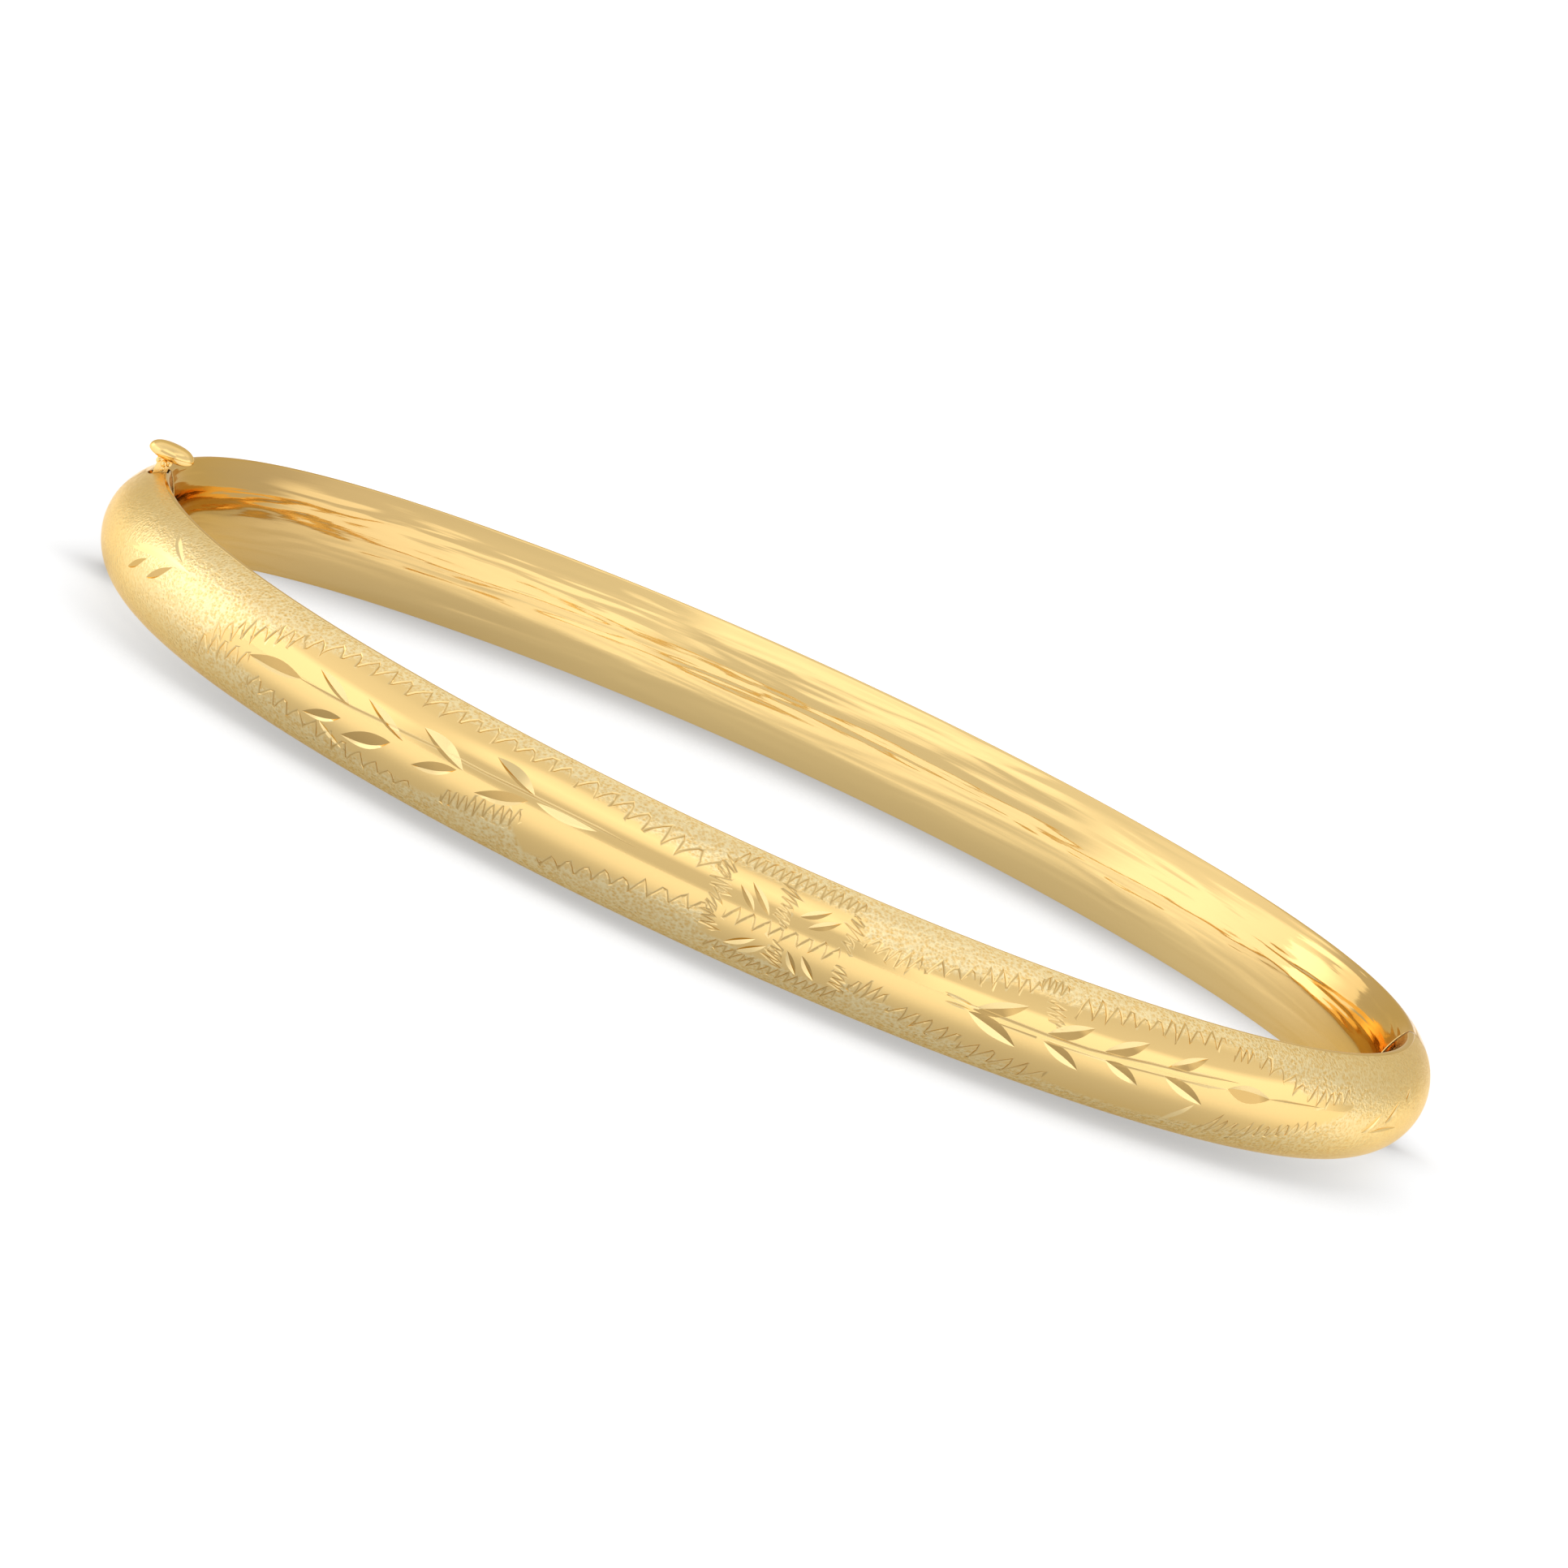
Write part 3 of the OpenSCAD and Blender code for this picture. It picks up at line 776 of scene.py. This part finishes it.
# How the buffing wheel marks a surface: the scales of its streaks, waves and hairlines, the waves' turn,
# and the streaks' depth in metres. The strip's UV is in tenths of a metre, so a scale of 100 makes one unit
# a millimetre there.
# Along the band the streaks are about 14 mm long and 1 mm wide, over waves three times as wide
ALONG_BAND = ((7, 95, 1), (4, 32, 1), (40, 1100, 1), 0.02, 0.0002)
# On the small parts the streaks are 0.6 mm wide, and the hairlines about 0.1 mm apart
ON_SMALL_PARTS = ((500, 500, 1600), (330, 330, 330), (1500, 1500, 9000), 0.0, 0.00002)


def polished_gold(name, colour, roughness, banded=False, end_shade=None):
    """14 karat yellow gold, buffed: mirror-like, with the hairlines and shallow streaks of the wheel."""
    material, tree = new_material(name)
    if banded:
        place = add_node(tree, "UVMap", uv_map="band").outputs["UV"]
    else:
        place = add_node(tree, "TexCoord").outputs["Object"]
    tint = linear(colour)
    if end_shade:
        # Painted shade at the clasp and the hinge, which also damps the liners' red glow in each other
        length = add_node(tree, "SeparateXYZ", {"Vector": place})
        middle, end = linear(colour), linear(end_shade)
        tint = add_node(tree, "ValToRGB", {"Fac": length.outputs["X"]},
                        stops=[(0.0, end), (0.14, end), (0.4, middle), (0.75, middle), (0.9, end)])
    streak_scale, wave_scale, hair_scale, turn, depth = ALONG_BAND if banded else ON_SMALL_PARTS
    streaks = add_node(tree, "Mapping", {"Vector": place, "Scale": streak_scale})
    waves = add_node(tree, "Mapping", {"Vector": place, "Scale": wave_scale, "Rotation": (0, 0, turn)})
    hairs = add_node(tree, "Mapping", {"Vector": place, "Scale": hair_scale})
    streak = add_node(tree, "TexNoise", {"Vector": streaks, "Scale": 1.0, "Detail": 2.0, "Distortion": 0.3})
    wave = add_node(tree, "TexNoise", {"Vector": waves, "Scale": 1.0, "Detail": 1.0})
    hair = add_node(tree, "TexNoise", {"Vector": hairs, "Scale": 1.0, "Detail": 2.0})
    rough = add_node(tree, "MapRange", {"Value": hair, "From Min": 0.3, "From Max": 0.7,
                                        "To Min": roughness * 0.8, "To Max": roughness * 1.3})
    slow = add_node(tree, "Bump", {"Height": wave, "Strength": 1.0, "Distance": 2 * depth})
    mid = add_node(tree, "Bump", {"Height": streak, "Strength": 1.0, "Distance": depth, "Normal": slow})
    fine = add_node(tree, "Bump", {"Height": hair, "Strength": 1.0, "Distance": depth / 60, "Normal": mid})
    shader = add_node(tree, "BsdfPrincipled", {
        "Base Color": tint, "Metallic": 1.0, "Specular Tint": linear(EDGE_TINT), "Roughness": rough,
        "Normal": fine})
    add_node(tree, "OutputMaterial", {"Surface": shader})
    return material


def engraved_gold(name, bright, satin):
    """14 karat yellow gold, satin from a wire brush, with polished panels and bright cuts."""
    material, tree = new_material(name)
    strip = add_node(tree, "UVMap", uv_map="band")
    finish = add_node(tree, "VertexColor", layer_name="finish")
    parts = add_node(tree, "SeparateColor", {"Color": finish.outputs["Color"]})
    # Brush marks about 0.15 mm wide and 0.3 mm long, at a slant, mixed with a grain as fine
    brush_place = add_node(tree, "Mapping", {"Vector": strip, "Scale": (340, 640, 1),
                                             "Rotation": (0, 0, 0.6)})
    brush = add_node(tree, "TexNoise", {"Vector": brush_place, "Scale": 1.0, "Detail": 3.0, "Roughness": 0.6,
                                        "Distortion": 0.8})
    grain_place = add_node(tree, "Mapping", {"Vector": strip, "Scale": (620, 620, 1)})
    grain = add_node(tree, "TexVoronoi", {"Vector": grain_place, "Scale": 1.0})
    both = add_node(tree, "Mix", {"Factor": 0.4, "A": brush, "B": grain})
    # The brush bit less in patches about 3 by 2 mm
    patch_place = add_node(tree, "Mapping", {"Vector": strip, "Scale": (35, 60, 1)})
    patch = add_node(tree, "TexNoise", {"Vector": patch_place, "Scale": 1.0, "Detail": 2.0})
    worn = add_node(tree, "MapRange", {"Value": patch, "From Min": 0.35, "From Max": 0.65, "To Min": 0.5,
                                       "To Max": 1.0})
    amount = add_node(tree, "Math", {0: parts.outputs["Red"], 1: worn}, operation="MULTIPLY")
    tone = add_node(tree, "MapRange", {"Value": both, "From Min": 0.3, "From Max": 0.6})
    speckle = add_node(tree, "Mix", {SHARE: tone, FIRST: linear(satin), SECOND: linear(GRAIN)},
                       data_type="RGBA")
    worked = add_node(tree, "Mix", {SHARE: parts.outputs["Red"], FIRST: linear(bright),
                                    SECOND: speckle.outputs[MIXED]}, data_type="RGBA")
    # Over that, the painted highlights on the cuts and on the two ends, and the painted shade on one slope
    # of each leaf and in the bottoms of the lines
    ends = add_node(tree, "Math", {0: finish.outputs["Alpha"], 1: 0.5}, operation="MULTIPLY")
    deep = add_node(tree, "Math", {0: parts.outputs["Blue"], 1: 0.65}, operation="MULTIPLY")
    colour = worked.outputs[MIXED]
    for share, over in ((parts.outputs["Green"], PAINTED_CUT_HIGHLIGHT), (ends, PAINTED_END_HIGHLIGHT), (deep, PAINTED_CUT_SHADE)):
        colour = add_node(tree, "Mix", {SHARE: share, FIRST: colour, SECOND: linear(over)},
                          data_type="RGBA").outputs[MIXED]
    rough = add_node(tree, "MapRange", {"Value": parts.outputs["Red"], "To Min": 0.09, "To Max": 0.24})
    sharper = add_node(tree, "Math", {0: parts.outputs["Green"], 1: -0.03, 2: rough},
                       operation="MULTIPLY_ADD")
    bump = add_node(tree, "Bump", {"Height": both, "Strength": amount, "Distance": 0.00006})
    shader = add_node(tree, "BsdfPrincipled", {
        "Base Color": colour, "Metallic": 1.0, "Specular Tint": linear(EDGE_TINT),
        "Roughness": sharper, "Normal": bump})
    add_node(tree, "OutputMaterial", {"Surface": shader})
    return material


def board(name, colour, shaded, roughness):
    """A matt painted board with a roller's faint unevenness, and a painted shadow under what lies on it."""
    material, tree = new_material(name)
    place = add_node(tree, "TexCoord").outputs["Object"]
    # The painted shadow gathers within 20 mm of whatever lies on the board
    near = add_node(tree, "AmbientOcclusion", {"Distance": 0.02}, samples=12)
    shade = add_node(tree, "MapRange", {"Value": near.outputs["AO"], "From Min": 0.96, "From Max": 0.72})
    # The painted shadow is fainter in line with the clasp and the hinge, where the side light reaches in
    split = add_node(tree, "SeparateXYZ", {"Vector": place})
    aside = add_node(tree, "Math", {0: split.outputs["Y"]}, operation="ABSOLUTE")
    faint = add_node(tree, "MapRange", {"Value": aside, "From Min": 0.004, "From Max": 0.024, "To Min": 0.1},
                     interpolation_type="SMOOTHSTEP")
    depth = add_node(tree, "Math", {0: shade, 1: faint}, operation="MULTIPLY")
    tone = add_node(tree, "Mix", {SHARE: depth, FIRST: linear(colour), SECOND: linear(shaded)},
                    data_type="RGBA")
    roll = add_node(tree, "TexNoise", {"Vector": place, "Scale": 300.0, "Detail": 2.0})
    bump = add_node(tree, "Bump", {"Height": roll, "Strength": 0.02, "Distance": 0.0001})
    shader = add_node(tree, "BsdfPrincipled", {"Base Color": tone.outputs[MIXED], "Roughness": roughness,
                                               "Normal": bump})
    add_node(tree, "OutputMaterial", {"Surface": shader})
    return material


# How bright the room is, from the floor's horizon (0) to overhead (1), on each side of the camera
ROOM = {
    "left": [(0.0, 1.3), (0.27, 1.35), (0.36, 0.98), (0.55, 0.92), (0.62, 0.86), (1.0, 0.8)],
    "front": [(0.0, 0.86), (0.06, 0.7), (0.27, 0.72), (0.37, 1.12), (0.5, 1.3), (0.66, 1.15), (0.78, 0.8),
              (1.0, 0.74)],
    "right": [(0.0, 1.2), (0.22, 1.28), (0.29, 0.84), (0.56, 0.78), (0.64, 1.14), (0.74, 1.14), (0.85, 0.86),
              (1.0, 0.74)],
    "behind": [(0.0, 0.78), (0.1, 0.68), (0.35, 0.72), (0.5, 0.95), (0.7, 0.9), (1.0, 0.74)],
}


def room_light(scene, strength):
    """A white room, brighter at some heights than at others, and different on each side."""
    world = bpy.data.worlds.new("room")
    scene.world = world
    world.use_nodes = True
    tree = world.node_tree
    tree.nodes.clear()
    place = add_node(tree, "TexCoord").outputs["Generated"]
    split = add_node(tree, "SeparateXYZ", {"Vector": place})
    height = add_node(tree, "Math", {0: split.outputs["Z"]}, operation="ARCSINE")
    share = add_node(tree, "Math", {0: height, 1: math.pi / 2}, operation="DIVIDE")
    level = add_node(tree, "VectorMath", {0: place, 1: (1, 1, 0)}, operation="MULTIPLY")
    toward = add_node(tree, "VectorMath", {0: level}, operation="NORMALIZE")
    across = add_node(tree, "SeparateXYZ", {"Vector": toward})
    shades = {}
    for side, stops in ROOM.items():
        # A ramp holds colours up to 1, so the levels are halved here and doubled by the strength
        shades[side] = add_node(tree, "ValToRGB", {"Fac": share},
                                stops=[(at, grey(bright / 2)) for at, bright in stops])
    # Where the left side ends, and where the right side and the back start
    edges = {"leftward": ("X", -0.9, -0.7), "rightward": ("X", 0.3, 0.55), "backward": ("Y", 0.25, 0.55)}
    past = {}
    for side, (axis, start, end) in edges.items():
        past[side] = add_node(tree, "MapRange", {"Value": across.outputs[axis], "From Min": start,
                                                 "From Max": end}, interpolation_type="SMOOTHSTEP")
    # The room is darker behind the bangle, but not to the left of it
    darker = add_node(tree, "Math", {0: past["backward"], 1: past["leftward"]}, operation="MULTIPLY")
    light = shades["left"]
    for share, side in ((past["leftward"], "front"), (past["rightward"], "right"), (darker, "behind")):
        light = add_node(tree, "Mix", {SHARE: share, FIRST: light, SECOND: shades[side]},
                         data_type="RGBA").outputs[MIXED]
    background = add_node(tree, "Background", {"Color": light, "Strength": 2 * strength})
    add_node(tree, "OutputWorld", {"Surface": background})


# ---- What a user may change ----


class GoldFinishes(bpy.types.PropertyGroup):
    polished: StringProperty(name="Polished gold", default="#FBD790",
                             description="sRGB colour of the buffed gold")
    inside: StringProperty(name="Inner gold", default="#FBD994",
                           description="sRGB colour of the back sheet on the wrist side")
    satin: StringProperty(name="Satin gold", default="#EEC476",
                          description="sRGB colour of the brushed gold")
    roughness: FloatProperty(name="Buffed roughness", default=0.085, min=0.02, max=0.5, subtype="FACTOR",
                             description="Roughness of the buffed gold")


class StudioSettings(bpy.types.PropertyGroup):
    floor: StringProperty(name="Floor colour", default="#FFFFFF", description="sRGB colour of the floor")
    # The colour of the shadow painted on the floor round the bangle
    shade: StringProperty(name="Floor shade", default="#C6C6C6",
                          description="sRGB colour of the floor round the bangle")
    sky: FloatProperty(name="Room light", default=1.0, min=0,
                       description="Strength of the light from all round")
    key: FloatProperty(name="Key light", default=1.0, min=0, description="Strength of the soft boxes")
    azimuth: FloatProperty(name="Camera azimuth", default=math.radians(-2.09), subtype="ANGLE",
                           description="Angle of the camera round the bangle")
    elevation: FloatProperty(name="Camera elevation", default=math.radians(9.28), subtype="ANGLE",
                             description="Angle of the camera above the floor")
    roll: FloatProperty(name="Camera roll", default=math.radians(24.66), subtype="ANGLE",
                        description="Turn of the camera about its own line of sight")
    distance: FloatProperty(name="Camera distance", default=0.5457, subtype="DISTANCE", unit="LENGTH",
                            description="Distance of the camera from the bangle's middle")
    slide: FloatVectorProperty(name="Camera slide", size=2, default=(0.00072, 0.00084),
                               subtype="TRANSLATION", unit="LENGTH",
                               description="Slide of the camera across and up")
    lens: FloatProperty(name="Lens", default=276.1, min=1,
                        description="Focal length in millimetres, on a 36 mm sensor")


# ---- Operators ----


class BANGLE_OT_engraved_shell(bpy.types.Operator):
    """The engraved outer sheet of the front half"""

    bl_idname = "bangle.engraved_shell"
    bl_label = "Engraved front shell"

    def execute(self, context):
        finish = context.scene.bangle_gold
        piece = shell_sheet("engraved_front_shell", engraved=True, mirrored=False, notched=True)
        put_on(piece, engraved_gold("engraved_14k_gold", finish.polished, finish.satin))
        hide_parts("front_outer_shell")
        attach(piece, "front_half")
        return {"FINISHED"}


class BANGLE_OT_back_shell(bpy.types.Operator):
    """The plain polished outer sheet of the back half"""

    bl_idname = "bangle.back_shell"
    bl_label = "Back shell"

    def execute(self, context):
        finish = context.scene.bangle_gold
        piece = shell_sheet("plain_back_shell", engraved=False, mirrored=True, notched=False)
        material = polished_gold("buffed_14k_gold_outside", finish.polished, finish.roughness, banded=True)
        put_on(piece, material)
        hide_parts("back_outer_shell")
        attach(piece, "back_half")
        return {"FINISHED"}


class BANGLE_OT_liners(bpy.types.Operator):
    """The two buffed inner sheets, with the rounded rims"""

    bl_idname = "bangle.liners"
    bl_label = "Liners"

    def execute(self, context):
        finish = context.scene.bangle_gold
        # Each liner gets its colour, and the painted shade at its ends
        for side, colour, end_shade in (("front", PALER_INSIDE, FRONT_END_SHADE), ("back", finish.inside, BACK_END_SHADE)):
            material = polished_gold(side + "_buffed_14k_gold_inside", colour, finish.roughness,
                                     banded=True, end_shade=end_shade)
            piece = liner_sheet(side + "_polished_liner", mirrored=side == "back")
            if side == "front":
                cut_notch(piece)
            put_on(piece, material)
            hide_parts(side + "_inner_liner")
            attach(piece, side + "_half")
        return {"FINISHED"}


class BANGLE_OT_thumb_button(bpy.types.Operator):
    """The domed oval button, and the solder that joins it to its stem"""

    bl_idname = "bangle.thumb_button"
    bl_label = "Thumb button"

    def execute(self, context):
        finish = context.scene.bangle_gold
        material = polished_gold("buffed_14k_gold_button", finish.polished, finish.roughness)
        low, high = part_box("thumb_tab")
        centre, size = (low + high) / 2, high - low
        # The button stands a little higher than the frame's lens, and its underside is as low
        below, above = size.z * 0.55, size.z * 0.8
        bm = bmesh.new()
        bmesh.ops.create_uvsphere(bm, u_segments=72, v_segments=36, radius=1)
        for vert in bm.verts:
            # A power below 1 spreads the sphere's rings, so that the edge is blunt
            spread = math.hypot(vert.co.x, vert.co.y)
            blunt = spread**0.7 / max(spread, 1e-9)
            vert.co = (centre.x + vert.co.x * blunt * size.x / 2, centre.y + vert.co.y * blunt * size.y / 2,
                       low.z + below + vert.co.z * (above if vert.co.z > 0 else below))
        for face in bm.faces:
            face.smooth = True
        button = piece_from(bm, "thumb_button")
        put_on(button, material)
        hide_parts("thumb_tab")
        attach(button, "latch")

        stem_low, stem_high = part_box("tab_stem")
        foot = (stem_low + stem_high) / 2
        bm = bmesh.new()
        # Beads of solder: place from the stem's top, and radius
        beads = [(-0.24, -0.05, -0.16, 0.15), (0.02, -0.19, -0.22, 0.14), (0.22, -0.1, -0.12, 0.16),
                 (0.1, 0.16, -0.14, 0.15), (-0.12, 0.14, -0.12, 0.16), (0.04, -0.2, -0.46, 0.1)]
        for x, y, z, radius in beads:
            place = Matrix.Translation(Vector((foot.x, foot.y, stem_high.z)) + Vector((x, y, z)) * MM)
            bmesh.ops.create_icosphere(bm, subdivisions=3, radius=radius * MM,
                                       matrix=place @ Matrix.Diagonal((1, 1, 1.25, 1)))
        for face in bm.faces:
            face.smooth = True
        solder = piece_from(bm, "tab_solder")
        put_on(solder, material)
        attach(solder, "latch")
        return {"FINISHED"}


class BANGLE_OT_fittings(bpy.types.Operator):
    """Finish of the hinge and clasp parts, which keep the frame's shapes"""

    bl_idname = "bangle.fittings"
    bl_label = "Hinge and clasp finish"

    def execute(self, context):
        finish = context.scene.bangle_gold
        material = polished_gold("tumbled_14k_gold_fittings", finish.polished, finish.roughness * 1.6)
        for name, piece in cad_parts.items():
            if not piece.hide_render:
                put_on(piece, material)
        return {"FINISHED"}


class BANGLE_OT_studio(bpy.types.Operator):
    """The floor, the lights and the camera"""

    bl_idname = "bangle.studio"
    bl_label = "Studio"

    def execute(self, context):
        scene, studio = context.scene, context.scene.bangle_studio
        scene.view_settings.view_transform = "Standard"
        bm = bmesh.new()
        bmesh.ops.create_grid(bm, x_segments=1, y_segments=1, size=3)
        floor = piece_from(bm, "floor")
        put_on(floor, board("white_painted_board", studio.floor, studio.shade, 0.6))

        room_light(scene, studio.sky)

        # Name, place, width, height, power in watts, and whether the gold mirrors it
        boxes = [("overhead_soft_box", (0.0, 0.15, 0.7), 0.9, 0.6, 1.8, False),
                 ("left_strip_light", (-0.98, 0.66, 0.22), 0.6, 0.5, 0.6, True)]
        for name, at, wide, tall, power, mirrored in boxes:
            light = bpy.data.lights.new(name, "AREA")
            light.shape = "RECTANGLE"
            light.size, light.size_y = wide, tall
            light.energy = power * studio.key
            lamp = bpy.data.objects.new(name, light)
            scene.collection.objects.link(lamp)
            lamp.location = at
            lamp.visible_glossy = mirrored
            lamp.rotation_euler = (-Vector(at)).to_track_quat("-Z", "Y").to_euler()

        az, el, roll = studio.azimuth, studio.elevation, studio.roll
        back = Vector((math.sin(az) * math.cos(el), -math.cos(az) * math.cos(el), math.sin(el)))
        level = Vector((math.cos(az), math.sin(az), 0))
        upright = back.cross(level)
        right = level * math.cos(roll) + upright * math.sin(roll)
        up = upright * math.cos(roll) - level * math.sin(roll)
        aim = Vector((0, 0, MID * MM)) + right * studio.slide[0] + up * studio.slide[1]
        at = aim + back * studio.distance
        data = bpy.data.cameras.new("camera")
        data.lens = studio.lens
        data.sensor_width = 36
        data.clip_start, data.clip_end = 0.01, 20
        camera = bpy.data.objects.new("camera", data)
        camera.matrix_world = Matrix.Translation(at) @ Matrix((right, up, back)).transposed().to_4x4()
        scene.collection.objects.link(camera)
        scene.camera = camera
        return {"FINISHED"}


class BANGLE_PT_panel(bpy.types.Panel):
    bl_label = "Hinged bangle"
    bl_idname = "BANGLE_PT_panel"
    bl_space_type = "VIEW_3D"
    bl_region_type = "UI"
    bl_category = "Bangle"

    def draw(self, context):
        for operator in OPERATORS:
            self.layout.operator(operator.bl_idname)
        for group in (context.scene.bangle_gold, context.scene.bangle_studio):
            for key in group.__annotations__:
                self.layout.prop(group, key)


OPERATORS = (BANGLE_OT_engraved_shell, BANGLE_OT_back_shell, BANGLE_OT_liners, BANGLE_OT_thumb_button,
             BANGLE_OT_fittings, BANGLE_OT_studio)
CLASSES = (GoldFinishes, StudioSettings) + OPERATORS + (BANGLE_PT_panel,)


def register():
    for cls in CLASSES:
        bpy.utils.register_class(cls)
    bpy.types.Scene.bangle_gold = PointerProperty(type=GoldFinishes)
    bpy.types.Scene.bangle_studio = PointerProperty(type=StudioSettings)


def unregister():
    del bpy.types.Scene.bangle_gold
    del bpy.types.Scene.bangle_studio
    for cls in reversed(CLASSES):
        bpy.utils.unregister_class(cls)


def main():
    register()
    bpy.ops.bangle.engraved_shell()
    bpy.ops.bangle.back_shell()
    bpy.ops.bangle.liners()
    bpy.ops.bangle.thumb_button()
    bpy.ops.bangle.fittings()
    bpy.ops.bangle.studio()


if __name__ == "__main__":
    main()
